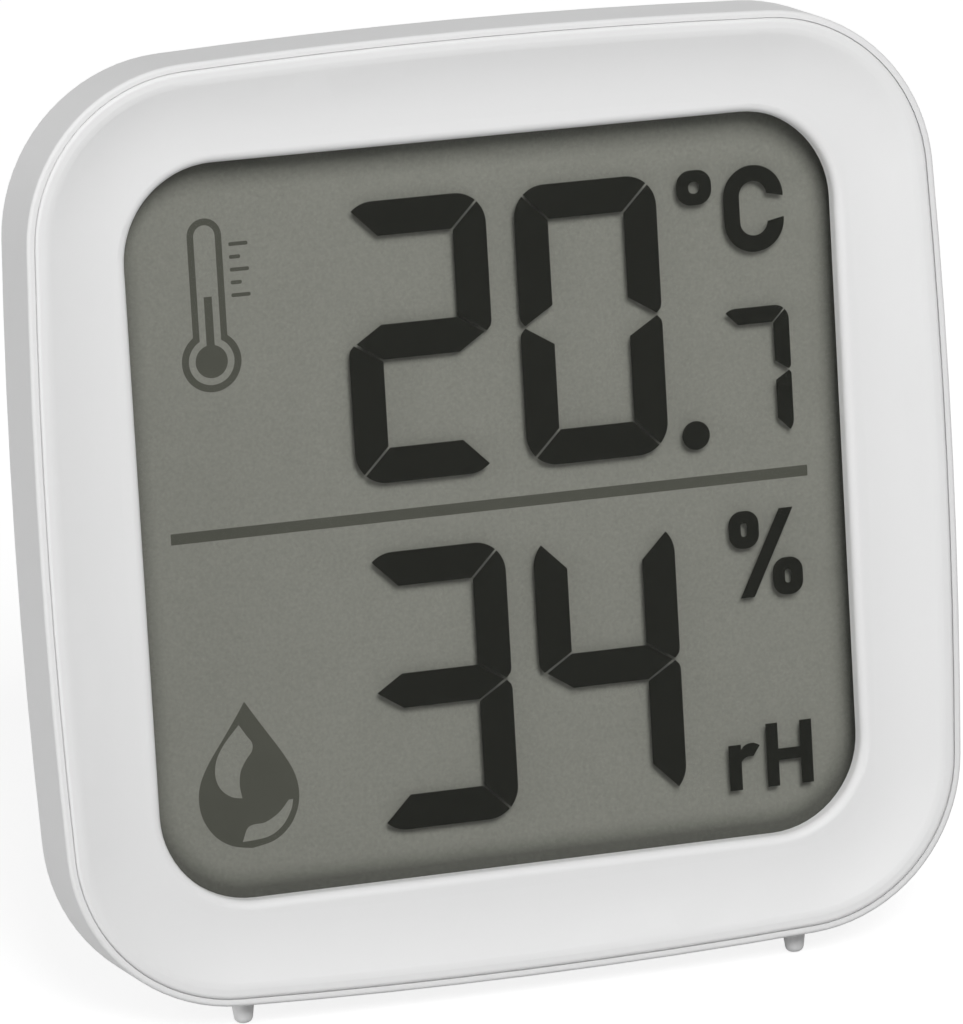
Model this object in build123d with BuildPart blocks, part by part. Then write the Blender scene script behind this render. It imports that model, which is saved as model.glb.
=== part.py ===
from build123d import *
from math import atan2, cos, degrees, hypot, pi, radians, sin, sqrt, tan
import os

# Digital thermo-hygrometer, in millimetres. It stands on two small feet and a fold-out leg,
# leaning back. +Z is up, the display faces -Y, and X = 0 is the middle of the case.
# "Depth" is measured into the case from the flat land round the window, square to the display.

# Case outline, seen square to the display: the glass with the frame's width all round
frame_width = 5.8
side_radius = 411.0
corner_radius = 11.0
lean = 10.5

# Depths of the two shells
rim_front = 0.85
flange_rear = 5.2
flange_growth = 0.15
case_back = 12.2
box_inset = 2.5
box_draft = 0.4
case_wall = 1.3
back_wall = 1.4
floor_wall = 1.0
box_edge_radius = 1.2
flange_chamfer = 0.3
step_chamfer = 0.5

# Seam between the rim of the rear case and the face plate
rim_lip = 0.45
rim_edge_radius = 0.25
seam_gap = 0.01
seat_gap = 0.1

# Dish of the face plate
crest_height = 0.95
crest_inset = 1.3
land_inset = 5.6
crest_radius = 1.0
plate_edge_radius = 0.3

# Window and display
glass_size = 48.4
glass_thickness = 0.55
glass_overlap = 1.0
window_radius = 6.0
lip_radius = 0.55
display_depth = 1.25
polariser_margin = 0.4
polariser_thickness = 0.18
reflector_thickness = 0.24
contact_ledge = 1.5
contact_reach = 1.0
reflector_margin = 0.2
glass_chamfer = 0.08
glass_corner_clip = 0.8
polariser_corner = 0.5
display_clearance = 0.1

# Ribs, skirt and snap hooks behind the face plate
skirt_wall = 0.9
skirt_depth = 3.2
rib_length = 6.0
rib_spacing = 14.0
rib_wall = 0.8
snap_length = 4.0
snap_spacing = 26.0
snap_reach = 0.35
snap_front = 1.9
snap_rear = 3.0
snap_land = 0.3
snap_clearance = 0.1
snap_pocket_gap = 0.2
post_width = 2.2
post_spacing = 24.0

# Connector strip and foam strip between display and board
zebra_margin = 2.2
zebra_width = 1.1
foam_width = 2.5
foam_margin = 0.4
foam_end_margin = 4.2

# Circuit board and what is soldered to it
board_front = 3.4
board_thickness = 0.8
board_clearance = 0.2
blob_radius = 4.5
blob_height = 1.4
blob_rim = 0.3
blob_margin = 12.0
sensor_size = 3.0
sensor_height = 1.1
sensor_window_radius = 0.7
sensor_margin = 10.5
sensor_drop = 11.5
crystal_radius = 1.0
crystal_length = 6.0
crystal_chamfer = 0.2
crystal_margin = 12.0
crystal_drop = 12.0
capacitor_length = 2.0
capacitor_width = 1.25
capacitor_height = 0.9
resistor_length = 1.6
resistor_width = 0.8
resistor_height = 0.45
chip_pitch = 2.6
chip_margin = 12.0
chip_drop = 5.5
capacitor_count = 3
resistor_count = 5
isolation_reach = 3.2
isolation_length = 6.0
isolation_width = 1.0

# Coin cell, its well and its bayonet door
cell_radius = 10.0
cell_thickness = 3.2
cell_step = 0.3
cell_cap_inset = 1.2
cell_edge_chamfer = 0.3
cell_floor = 7.6
cell_clearance = 0.3
cell_ledge = 3.0
well_wall = 1.0
well_floor = 0.8
door_overhang = 0.25
door_clearance = 0.1
door_flange = 0.65
door_thickness = 1.0
door_lip = 0.7
door_skirt_margin = 0.7
door_skirt_wall = 0.6
lug_reach = 0.95
lug_width = 4.0
lug_thickness = 0.75
lug_count = 3
lug_turn = 45.0
slot_length = 13.0
slot_width = 1.8
slot_depth = 0.6
door_edge_chamfer = 0.2
pad_gap = 0.05
pad_radius = 3.0

# Spring contacts of the cell
contact_width = 3.0
contact_thickness = 0.25
contact_gap = 0.04
contact_foot = 3.2
contact_bend = 0.4
finger_margin = 1.7
finger_tail = 1.2
finger_drop = 0.4

# Fold-out leg
leg_opening = 26.5
leg_thickness = 1.6
leg_share = 0.36
leg_taper = 3.4
leg_hinge_web = 4.4
leg_hinge_inset = 1.3
leg_pin_radius = 0.75
leg_pin_length = 1.2
leg_rim = 1.6
leg_rib = 1.4
leg_shoulder = 2.4
leg_edge_radius = 0.45
leg_hollow = 0.9
leg_corner_radius = 2.5
hinge_clearance = 0.05
leg_side_gap = 0.25
leg_floor_gap = 0.3
stop_gap = 0.03
socket_wall = 0.7

# Unit button and its switch
button_radius = 2.0
button_clearance = 0.1
button_flange = 0.7
button_flange_thickness = 0.7
button_proud = 0.3
button_travel = 0.3
button_chamfer = 0.2
button_margin = 11.5
button_rise = 13.5
stem_radius = 1.0
switch_size = 4.2
switch_height = 2.0
switch_corner = 0.3
plunger_radius = 0.8
plunger_reach = 0.7
plunger_depth = 0.6
guide_wall = 0.8
guide_depth = 1.6

# Keyhole for hanging and vents over the sensor
keyhole_margin = 8.0
keyhole_web = 0.9
keyhole_radius = 1.9
keyhole_slot_radius = 1.0
keyhole_rise = 2.6
vent_count = 5
vent_length = 8.0
vent_width = 1.0
vent_pitch = 2.0

# Feet
foot_margin = 0.7
foot_depth = 1.4
foot_sink = 0.38
foot_reach = 1.1
foot_root_radius = 0.82
foot_tip_radius = 0.55
foot_tip_round = 0.4

# Derived sizes
case_size = glass_size + 2 * frame_width
case_half = case_size / 2
window_size = glass_size - 2 * glass_overlap
polariser_size = glass_size - 2 * polariser_margin
reflector_size = glass_size - 2 * reflector_margin
zebra_length = glass_size - 2 * zebra_margin
foam_length = glass_size - 2 * foam_end_margin
well_radius = cell_radius + cell_clearance
well_opening_radius = cell_radius - cell_ledge
cell_cap_radius = cell_radius - cell_cap_inset
finger_run = well_opening_radius - finger_margin
skirt_radius = well_radius + door_skirt_margin
lug_radius = skirt_radius + lug_reach
door_radius = lug_radius + door_overhang
leg_top_width = case_size * leg_share
leg_tip_width = leg_top_width - 2 * leg_taper

# Derived places
keyhole_height = case_half - keyhole_margin
cell_centre = keyhole_height - keyhole_radius - keyhole_web - door_radius
leg_hinge_height = cell_centre - door_radius - leg_hinge_web
button_place = (case_half - button_margin, button_rise - case_half)
blob_place = (case_half - blob_margin, case_half - blob_margin)
sensor_place = (sensor_margin - case_half, case_half - sensor_drop)
crystal_place = (crystal_margin - case_half, -crystal_drop)
capacitor_place = (case_half - chip_margin, cell_centre - chip_drop)
resistor_place = (chip_margin - case_half, cell_centre - chip_drop)
side_centre = case_half - side_radius
arc_difference = side_radius - corner_radius
corner_centre = (side_centre + sqrt(2 * arc_difference**2 - side_centre**2)) / 2
side_angle = degrees(atan2(corner_centre, corner_centre - side_centre))
foot_place = corner_centre * side_radius / arc_difference - foot_margin
foot_root = side_centre + sqrt(side_radius**2 - foot_place**2) - foot_sink
foot_tip = case_half + foot_reach
plate_inset = rim_lip + seam_gap
skirt_inset = case_wall + seat_gap
skirt_face = case_half - skirt_inset
board_rear = board_front + board_thickness
back_inner = case_back - back_wall
cavity_inset = box_inset + case_wall
glass_front = display_depth + polariser_thickness
glass_middle = glass_front + glass_thickness
glass_rear = glass_middle + glass_thickness
reflector_rear = glass_rear + reflector_thickness
rear_shorter = contact_ledge - contact_reach
contact_height = contact_ledge / 2 - contact_reach - glass_size / 2
lower_side = 3
cell_top = cell_floor + cell_thickness
lip_front = case_back - door_lip
lug_front = back_inner - door_clearance - lug_thickness
pocket_front = lug_front - door_clearance
pocket_radius = lug_radius + door_clearance
leg_hinge_depth = case_back - leg_hinge_inset
recess_floor = leg_hinge_depth - leg_thickness / 2 - leg_floor_gap
recess_half = leg_top_width / 2 + leg_side_gap
switch_rear = board_rear + switch_height
snap_face = skirt_face - side_radius + sqrt(side_radius**2 - (snap_spacing / 2) ** 2)
socket_half = leg_top_width / 2 + leg_pin_length + hinge_clearance
guide_radius = button_radius + button_flange + 2 * button_clearance

# The display plane stands over the floor by the reach of the feet, and the case is centred in Y
slope = radians(lean)
foot_taper = atan2(foot_root_radius - foot_tip_radius, foot_tip - foot_root)
foot_flat = foot_tip_radius - foot_tip_round * tan(pi / 4 - foot_taper / 2)
plane_height = (
    (foot_tip - foot_tip_round) * cos(slope) + (foot_depth + foot_flat) * sin(slope) + foot_tip_round
)
front_reach = (case_half - crest_inset) * sin(slope) + crest_height * cos(slope)
top_reach = case_half - box_inset - box_draft - box_edge_radius
back_reach = top_reach * sin(slope) + (case_back - box_edge_radius) * cos(slope) + box_edge_radius


def leaned_plane(origin, angle):
    """A plane that faces the front and leans back by the angle, with its x along +X."""
    return Plane(origin, x_dir=(1, 0, 0), z_dir=(0, -cos(radians(angle)), sin(radians(angle))))


display_plane = leaned_plane((0, (front_reach - back_reach) / 2, plane_height), lean)
front_axis = Axis(display_plane.origin, display_plane.z_dir)
down_axis = Axis(display_plane.origin, -display_plane.y_dir)


def layer(depth):
    """The plane parallel to the display at this depth in the case."""
    return display_plane.offset(-depth)


def turned_layer(depth, turn):
    """The layer at this depth, turned so that its x points out of the right, top, left or lower side."""
    plane = layer(depth)
    angle = radians(90 * turn)
    return Plane(plane.origin, x_dir=plane.x_dir * cos(angle) + plane.y_dir * sin(angle), z_dir=plane.z_dir)


def side_section(turn, along=0.0):
    """A plane across one side of the case: x points outward from the middle, y into the depth."""
    turned = turned_layer(0, turn)
    return Plane(turned.from_local_coords((0, along, 0)), x_dir=turned.x_dir, z_dir=turned.y_dir)


def outline_line(inset=0.0):
    """The closed line of the case's outline, from the middle of the right side round."""
    with BuildLine() as line:
        for quarter in range(4):
            turn = 90 * quarter
            side = Vector(side_centre, 0).rotate(Axis.Z, turn)
            corner = Vector(corner_centre, corner_centre).rotate(Axis.Z, turn)
            next_side = Vector(side_centre, 0).rotate(Axis.Z, turn + 90)
            CenterArc(side, side_radius - inset, turn, side_angle)
            CenterArc(corner, corner_radius - inset, turn + side_angle, 90 - 2 * side_angle)
            CenterArc(next_side, side_radius - inset, turn + 90 - side_angle, side_angle)
    return line.line


def case_outline(inset=0.0):
    """The case's outline as a face, with bowed sides and round corners, smaller by the inset."""
    with BuildSketch() as outline:
        add(outline_line(inset))
        make_face()
    return outline.sketch


def bayonet_lugs(radius, width, start):
    """The lugs of the door as a flat figure: a disc kept only along its arms, from the start angle."""
    with BuildSketch() as lugs:
        Circle(radius)
        with PolarLocations(radius, lug_count, start_angle=start):
            Rectangle(radius, width, mode=Mode.INTERSECT)
    return lugs.sketch


os.makedirs("parts", exist_ok=True)

# Face plate: a raised crest, a dish that eases into the flat land, the window, and behind them
# the skirt with its snap hooks, the ribs round the display and the posts that hold the board
with BuildPart() as face_plate:
    with BuildSketch(layer(display_depth)):
        add(case_outline(plate_inset))
    extrude(amount=display_depth + crest_height)
    fillet(face_plate.faces().sort_by(front_axis)[-1].edges(), plate_edge_radius)
    with BuildSketch(side_section(0)):
        with BuildLine():
            dish = TangentArc(
                (case_half - land_inset, 0),
                (case_half - crest_inset, -crest_height),
                tangent=(1, 0),
            )
            above = Vector(0, crest_height)
            Polyline(dish @ 1, (dish @ 1) - above, (dish @ 0) - above * 2, dish @ 0)
        make_face()
    sweep(path=display_plane.location * outline_line(crest_inset), mode=Mode.SUBTRACT)
    with BuildSketch(display_plane):
        add(case_outline(land_inset))
    extrude(amount=crest_height, mode=Mode.SUBTRACT)
    fillet(face_plate.faces().sort_by(front_axis)[-1].inner_wires()[0].edges(), crest_radius)
    with BuildSketch(layer(display_depth)):
        RectangleRounded(window_size, window_size, window_radius)
    extrude(amount=display_depth, mode=Mode.SUBTRACT)
    fillet(face_plate.edges(Select.LAST).group_by(front_axis)[-1], lip_radius)
    with BuildSketch(layer(skirt_depth)):
        add(case_outline(skirt_inset))
        add(case_outline(skirt_inset + skirt_wall), mode=Mode.SUBTRACT)
    extrude(amount=skirt_depth - display_depth)
    for turn in range(4):
        display_edge = glass_size / 2 + display_clearance
        if turn == lower_side:
            display_edge += contact_reach
        with BuildSketch(turned_layer(reflector_rear, turn)):
            with Locations((display_edge + rib_wall / 2, 0)):
                with GridLocations(0, rib_spacing, 1, 2):
                    Rectangle(rib_wall, rib_length)
        extrude(amount=reflector_rear - display_depth)
        with BuildSketch(turned_layer(board_front, turn)):
            with Locations(((display_edge + skirt_face - skirt_wall) / 2, 0)):
                with GridLocations(0, post_spacing, 1, 2):
                    Rectangle(post_width, post_width)
        extrude(amount=board_front - display_depth)
        for along in (-snap_spacing / 2, snap_spacing / 2):
            with BuildSketch(side_section(turn, along - snap_length / 2)):
                with BuildLine():
                    Polyline(
                        (snap_face - skirt_wall / 2, snap_front),
                        (snap_face + snap_reach, snap_front),
                        (snap_face + snap_reach, snap_front + snap_land),
                        (snap_face, snap_rear),
                        (snap_face - skirt_wall / 2, snap_rear),
                        close=True,
                    )
                make_face()
            extrude(amount=snap_length)
face_plate.part.label = "face_plate"
export_step(face_plate.part, "parts/face_plate.step")

# Display: front polariser, two glasses and the reflector. The front glass reaches further down,
# with clipped corners, so that its contact ledge lies behind the frame.
with BuildPart() as front_polariser:
    with BuildSketch(layer(glass_front)):
        RectangleRounded(polariser_size, polariser_size, polariser_corner)
    extrude(amount=polariser_thickness)
front_polariser.part.label = "lcd_front_polariser"
export_step(front_polariser.part, "parts/lcd_front_polariser.step")

with BuildPart() as front_glass:
    with BuildSketch(layer(glass_middle)) as pane:
        with Locations((0, -contact_reach / 2)):
            Rectangle(glass_size, glass_size + contact_reach)
        chamfer(pane.vertices().group_by(Axis.Y)[0], glass_corner_clip)
    extrude(amount=glass_thickness)
    chamfer(front_glass.faces().sort_by(front_axis)[0].edges(), glass_chamfer)
front_glass.part.label = "lcd_front_glass"
export_step(front_glass.part, "parts/lcd_front_glass.step")

with BuildPart() as rear_glass:
    with BuildSketch(layer(glass_rear)):
        with Locations((0, rear_shorter / 2)):
            Rectangle(glass_size, glass_size - rear_shorter)
    extrude(amount=glass_thickness)
    chamfer(rear_glass.faces().sort_by(front_axis)[0].edges(), glass_chamfer)
rear_glass.part.label = "lcd_rear_glass"
export_step(rear_glass.part, "parts/lcd_rear_glass.step")

with BuildPart() as rear_reflector:
    with BuildSketch(layer(reflector_rear)):
        with Locations((0, rear_shorter / 2)):
            Rectangle(reflector_size, reflector_size - rear_shorter)
    extrude(amount=reflector_thickness)
rear_reflector.part.label = "lcd_rear_reflector"
export_step(rear_reflector.part, "parts/lcd_rear_reflector.step")

# Connector strip on the contact ledge, and the foam strip along the upper edge
with BuildPart() as zebra_strip:
    with BuildSketch(layer(board_front)):
        with Locations((0, contact_height)):
            Rectangle(zebra_length, zebra_width)
    extrude(amount=board_front - glass_middle)
zebra_strip.part.label = "zebra_strip"
export_step(zebra_strip.part, "parts/zebra_strip.step")

with BuildPart() as foam_strip:
    with BuildSketch(layer(board_front)):
        with Locations((0, (polariser_size - foam_width) / 2 - foam_margin)):
            Rectangle(foam_length, foam_width)
    extrude(amount=board_front - reflector_rear)
foam_strip.part.label = "foam_strip"
export_step(foam_strip.part, "parts/foam_strip.step")

# Support leg, folded out: it swings on two pins, and its heel stops against the recess floor
opening = radians(leg_opening)
leg_slope = radians(leg_opening - lean)
hinge_point = display_plane.from_local_coords((0, leg_hinge_height, -leg_hinge_depth))
leg_plane = leaned_plane(hinge_point, lean - leg_opening)
leg_axis = Axis(leg_plane.origin, leg_plane.z_dir)
edge_offset = leg_thickness / 2 - leg_edge_radius
heel = leg_edge_radius + (
    leg_thickness / 2 + leg_floor_gap - stop_gap - leg_edge_radius - edge_offset * cos(opening)
) / sin(opening)
leg_reach = leg_edge_radius + (
    hinge_point.Z - leg_edge_radius - edge_offset * sin(leg_slope)
) / cos(leg_slope)
recess_top = leg_hinge_height + hypot(heel - leg_edge_radius, edge_offset) + leg_edge_radius + leg_side_gap


def leg_outline(inset=0.0):
    """The leg seen square to its face: full width at the hinge, tapering to the rounded tip."""
    top = leg_top_width / 2 - inset
    tip = leg_tip_width / 2 - inset
    foot = leg_reach - inset
    with BuildSketch() as outline:
        with BuildLine():
            Polyline(
                (-top, heel - inset),
                (-top, -leg_shoulder),
                (-tip, -foot),
                (tip, -foot),
                (top, -leg_shoulder),
                (top, heel - inset),
                close=True,
            )
        make_face()
        fillet(outline.vertices().group_by(Axis.Y)[0], leg_corner_radius)
    return outline.sketch


with BuildPart() as support_leg:
    with BuildSketch(leg_plane.offset(-leg_thickness / 2)):
        add(leg_outline())
    extrude(amount=leg_thickness)
    faces = support_leg.faces().sort_by(leg_axis)
    fillet(faces[0].edges() + faces[-1].edges(), leg_edge_radius)
    with BuildSketch(leg_plane.offset(leg_thickness / 2 - leg_hollow)):
        add(leg_outline(leg_rim))
        Rectangle(leg_rib, 2 * leg_reach, mode=Mode.SUBTRACT)
        Rectangle(leg_top_width, 2 * leg_shoulder, mode=Mode.SUBTRACT)
    extrude(amount=leg_hollow, mode=Mode.SUBTRACT)
    with BuildSketch(Plane(hinge_point, x_dir=(0, 1, 0), z_dir=(1, 0, 0))):
        Circle(leg_pin_radius)
    extrude(amount=leg_top_width / 2 + leg_pin_length, both=True)
support_leg.part.label = "support_leg"
export_step(support_leg.part, "parts/support_leg.step")

# Rear case: the flange and the smaller box behind it, hollowed, with the battery well,
# the recess of the leg, the keyhole, the vents, the button hole, the snap pockets and the feet
with BuildPart() as rear_case:
    with BuildSketch(layer(flange_rear)):
        add(case_outline(-flange_growth))
    with BuildSketch(layer(-rim_front)):
        add(case_outline())
    loft()
    with BuildSketch(layer(case_back)):
        add(case_outline(box_inset + box_draft))
    with BuildSketch(layer(flange_rear)):
        add(case_outline(box_inset))
    loft()
    step = rear_case.faces().filter_by(GeomType.PLANE).sort_by(front_axis)[1]
    chamfer(step.inner_wires()[0].edges(), step_chamfer)
    step = rear_case.faces().filter_by(GeomType.PLANE).sort_by(front_axis)[1]
    chamfer(step.outer_wire().edges(), flange_chamfer)
    fillet(rear_case.faces().sort_by(front_axis)[0].edges(), box_edge_radius)
    fillet(rear_case.faces().sort_by(front_axis)[-1].edges(), rim_edge_radius)
    for rear, thickness, inset in (
        (display_depth, display_depth + rim_front, rim_lip),
        (board_rear, board_rear - display_depth, case_wall),
        (back_inner, back_inner - board_rear, cavity_inset),
    ):
        with BuildSketch(layer(rear)):
            add(case_outline(inset))
        extrude(amount=thickness, mode=Mode.SUBTRACT)

    # Tube of the battery well and the wider ring that holds the door
    for rear, thickness, radius in (
        (back_inner, back_inner - pocket_front + well_wall, pocket_radius + well_wall),
        (pocket_front, pocket_front - cell_floor + well_floor, well_radius + well_wall),
    ):
        with BuildSketch(layer(rear)):
            with Locations((0, cell_centre)):
                Circle(radius)
        extrude(amount=thickness)
    for rear, thickness, radius in (
        (case_back, case_back - lip_front, door_radius + door_clearance),
        (lip_front, lip_front - back_inner, skirt_radius + door_clearance),
        (back_inner, back_inner - pocket_front, pocket_radius),
        (pocket_front, pocket_front - cell_floor, well_radius),
        (cell_floor, well_floor, well_opening_radius),
    ):
        with BuildSketch(layer(rear)):
            with Locations((0, cell_centre)):
                Circle(radius)
        extrude(amount=thickness, mode=Mode.SUBTRACT)
    with BuildSketch(layer(lip_front)):
        with Locations((0, cell_centre)):
            add(bayonet_lugs(pocket_radius, lug_width + 2 * door_clearance, 90 - lug_turn))
    extrude(amount=lip_front - back_inner, mode=Mode.SUBTRACT)
    with BuildSketch(layer(pocket_front)):
        with Locations((well_radius, cell_centre)):
            Rectangle(2 * well_wall, contact_width + 2 * door_clearance)
    extrude(amount=pocket_front - cell_floor + well_floor, mode=Mode.SUBTRACT)

    # Recess of the leg with its pin sockets
    with BuildSketch(layer(back_inner)):
        block_top = recess_top + floor_wall
        block_foot = case_half - box_inset - case_wall / 2
        with Locations((0, (block_top - block_foot) / 2)):
            Rectangle(2 * (socket_half + socket_wall), block_top + block_foot)
    extrude(amount=back_inner - recess_floor + floor_wall)
    with BuildSketch(layer(case_back)):
        with Locations((0, (recess_top - case_half) / 2)):
            Rectangle(2 * recess_half, recess_top + case_half)
    extrude(amount=case_back - recess_floor, mode=Mode.SUBTRACT)
    with BuildSketch(Plane(hinge_point, x_dir=(0, 1, 0), z_dir=(1, 0, 0))):
        Circle(leg_pin_radius + hinge_clearance)
    extrude(amount=socket_half, both=True, mode=Mode.SUBTRACT)

    # Button hole with its guide ring, the keyhole and the vents
    with BuildSketch(layer(back_inner)):
        with Locations(button_place):
            Circle(guide_radius + guide_wall)
            Circle(guide_radius, mode=Mode.SUBTRACT)
    extrude(amount=guide_depth)
    with BuildSketch(layer(case_back)):
        with Locations(button_place):
            Circle(button_radius + button_clearance)
        with Locations((0, keyhole_height)):
            Circle(keyhole_radius)
        with Locations((0, keyhole_height + keyhole_rise / 2)):
            SlotCenterToCenter(keyhole_rise, 2 * keyhole_slot_radius, rotation=90)
        with Locations(sensor_place):
            with GridLocations(0, vent_pitch, 1, vent_count):
                SlotOverall(vent_length, vent_width)
    extrude(amount=back_wall, mode=Mode.SUBTRACT)

    # Pockets that the snap hooks of the face plate click into
    for turn in range(4):
        with BuildSketch(turned_layer(snap_rear + snap_clearance, turn)):
            with Locations((snap_face, 0)):
                with GridLocations(0, snap_spacing, 1, 2):
                    Rectangle(2 * (snap_reach + snap_clearance), snap_length + 2 * snap_pocket_gap)
        extrude(amount=snap_rear - snap_front + 2 * snap_clearance, mode=Mode.SUBTRACT)

    # Feet: two tapered pegs under the lower edge
    for side in (-1, 1):
        root = display_plane.from_local_coords((side * foot_place, -foot_root, -foot_depth))
        with BuildSketch(Plane(root, x_dir=(1, 0, 0), z_dir=-display_plane.y_dir)):
            Circle(foot_root_radius)
        extrude(amount=foot_tip - foot_root, taper=degrees(foot_taper))
    fillet(rear_case.faces().group_by(down_axis)[-1].edges(), foot_tip_round)
rear_case.part.label = "rear_case"
export_step(rear_case.part, "parts/rear_case.step")

# Circuit board, with two milled slots that keep the warmth of the board away from the sensor
with BuildPart() as circuit_board:
    with BuildSketch(layer(board_rear)):
        add(case_outline(case_wall + board_clearance))
        with Locations(sensor_place):
            with Locations((isolation_reach, 0)):
                SlotOverall(isolation_length, isolation_width, rotation=90, mode=Mode.SUBTRACT)
            with Locations((0, -isolation_reach)):
                SlotOverall(isolation_length, isolation_width, mode=Mode.SUBTRACT)
    extrude(amount=board_thickness)
circuit_board.part.label = "circuit_board"
export_step(circuit_board.part, "parts/circuit_board.step")

# Controller under its drop of resin
with BuildPart() as controller_blob:
    with BuildSketch(layer(board_rear + blob_height)):
        with Locations(blob_place):
            Circle(blob_radius)
    extrude(amount=blob_height)
    chamfer(controller_blob.faces().sort_by(front_axis)[0].edges(), blob_height - blob_rim)
controller_blob.part.label = "controller_blob"
export_step(controller_blob.part, "parts/controller_blob.step")

# Sensor with the small window that faces the vents
with BuildPart() as humidity_sensor:
    with BuildSketch(layer(board_rear + sensor_height)):
        with Locations(sensor_place):
            Rectangle(sensor_size, sensor_size)
    extrude(amount=sensor_height)
    with BuildSketch(layer(board_rear + sensor_height)):
        with Locations(sensor_place):
            Circle(sensor_window_radius)
    extrude(amount=sensor_height / 2, mode=Mode.SUBTRACT)
humidity_sensor.part.label = "humidity_sensor"
export_step(humidity_sensor.part, "parts/humidity_sensor.step")

# Clock crystal: a can that lies on the board
crystal_end = display_plane.from_local_coords((*crystal_place, -(board_rear + crystal_radius)))
with BuildPart() as clock_crystal:
    with BuildSketch(Plane(crystal_end, x_dir=(0, 1, 0), z_dir=(1, 0, 0))):
        Circle(crystal_radius)
    extrude(amount=crystal_length)
    chamfer(clock_crystal.faces().sort_by(Axis.X)[-1].edges(), crystal_chamfer)
clock_crystal.part.label = "clock_crystal"
export_step(clock_crystal.part, "parts/clock_crystal.step")

# Small chips, each kind as a group of separate solids
with BuildPart() as chip_capacitors:
    with BuildSketch(layer(board_rear + capacitor_height)):
        with Locations(capacitor_place):
            with GridLocations(0, chip_pitch, 1, capacitor_count):
                Rectangle(capacitor_length, capacitor_width)
    extrude(amount=capacitor_height)
chip_capacitors.part.label = "chip_capacitors"
export_step(chip_capacitors.part, "parts/chip_capacitors.step")

with BuildPart() as chip_resistors:
    with BuildSketch(layer(board_rear + resistor_height)):
        with Locations(resistor_place):
            with GridLocations(0, chip_pitch, 1, resistor_count):
                Rectangle(resistor_length, resistor_width)
    extrude(amount=resistor_height)
chip_resistors.part.label = "chip_resistors"
export_step(chip_resistors.part, "parts/chip_resistors.step")

# Coin cell: the smaller negative face looks at the board, the can shows at the door
with BuildPart() as coin_cell:
    with BuildSketch(layer(cell_floor + cell_step)):
        with Locations((0, cell_centre)):
            Circle(cell_cap_radius)
    extrude(amount=cell_step)
    with BuildSketch(layer(cell_top)):
        with Locations((0, cell_centre)):
            Circle(cell_radius)
    extrude(amount=cell_thickness - cell_step)
    chamfer(coin_cell.faces().sort_by(front_axis)[0].edges(), cell_edge_chamfer)
coin_cell.part.label = "coin_cell"
export_step(coin_cell.part, "parts/coin_cell.step")

# Battery door: a flange that fills the seat, a neck, a skirt with bayonet lugs and a coin slot
with BuildPart() as battery_door:
    with BuildSketch(layer(case_back)):
        with Locations((0, cell_centre)):
            Circle(door_radius)
    extrude(amount=door_flange)
    chamfer(battery_door.faces().sort_by(front_axis)[0].edges(), door_edge_chamfer)
    with BuildSketch(layer(case_back - door_flange)):
        with Locations((0, cell_centre)):
            Circle(skirt_radius)
    extrude(amount=door_thickness - door_flange)
    with BuildSketch(layer(case_back - door_thickness)):
        with Locations((0, cell_centre)):
            Circle(skirt_radius)
            Circle(skirt_radius - door_skirt_wall, mode=Mode.SUBTRACT)
    extrude(amount=case_back - door_thickness - lug_front)
    with BuildSketch(layer(lug_front + lug_thickness)):
        with Locations((0, cell_centre)):
            add(bayonet_lugs(lug_radius, lug_width, 90))
            Circle(skirt_radius - door_skirt_wall, mode=Mode.SUBTRACT)
    extrude(amount=lug_thickness)
    with BuildSketch(layer(case_back - door_thickness)):
        with Locations((0, cell_centre)):
            Circle(pad_radius)
    extrude(amount=case_back - door_thickness - cell_top - pad_gap)
    with BuildSketch(layer(case_back)):
        with Locations((0, cell_centre)):
            SlotOverall(slot_length, slot_width)
    extrude(amount=slot_depth, mode=Mode.SUBTRACT)
battery_door.part.label = "battery_door"
export_step(battery_door.part, "parts/battery_door.step")

# Spring contacts of the cell, bent from strip: one under the cell, one against its side
foot_level = board_rear + contact_thickness / 2
with BuildPart() as negative_contact:
    touch = cell_floor - contact_gap - contact_thickness / 2
    with BuildSketch(side_section(1)):
        with BuildLine():
            FilletPolyline(
                (cell_centre - finger_run - contact_foot, foot_level),
                (cell_centre - finger_run, foot_level),
                (cell_centre, touch),
                (cell_centre + finger_tail, touch - finger_drop),
                radius=contact_bend,
            )
        trace(line_width=contact_thickness)
    extrude(amount=contact_width / 2, both=True)
negative_contact.part.label = "negative_contact"
export_step(negative_contact.part, "parts/negative_contact.step")

with BuildPart() as positive_contact:
    side_level = cell_radius + contact_gap + contact_thickness / 2
    with BuildSketch(side_section(0, cell_centre)):
        with BuildLine():
            FilletPolyline(
                (side_level + contact_foot, foot_level),
                (side_level, foot_level),
                (side_level, cell_top - cell_edge_chamfer),
                radius=contact_bend,
            )
        trace(line_width=contact_thickness)
    extrude(amount=contact_width / 2, both=True)
positive_contact.part.label = "positive_contact"
export_step(positive_contact.part, "parts/positive_contact.step")

# Switch under the unit button: the body with its bore, and the plunger
with BuildPart() as tactile_switch:
    with BuildSketch(layer(switch_rear)):
        with Locations(button_place):
            RectangleRounded(switch_size, switch_size, switch_corner)
            Circle(plunger_radius + hinge_clearance, mode=Mode.SUBTRACT)
    extrude(amount=plunger_depth + button_travel + hinge_clearance)
    with BuildSketch(layer(switch_rear - plunger_depth - button_travel - hinge_clearance)):
        with Locations(button_place):
            RectangleRounded(switch_size, switch_size, switch_corner)
    extrude(amount=switch_height - plunger_depth - button_travel - hinge_clearance)
tactile_switch.part.label = "tactile_switch"
export_step(tactile_switch.part, "parts/tactile_switch.step")

with BuildPart() as switch_plunger:
    with BuildSketch(layer(switch_rear + plunger_reach)):
        with Locations(button_place):
            Circle(plunger_radius)
    extrude(amount=plunger_reach + plunger_depth)
switch_plunger.part.label = "switch_plunger"
export_step(switch_plunger.part, "parts/switch_plunger.step")

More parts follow.
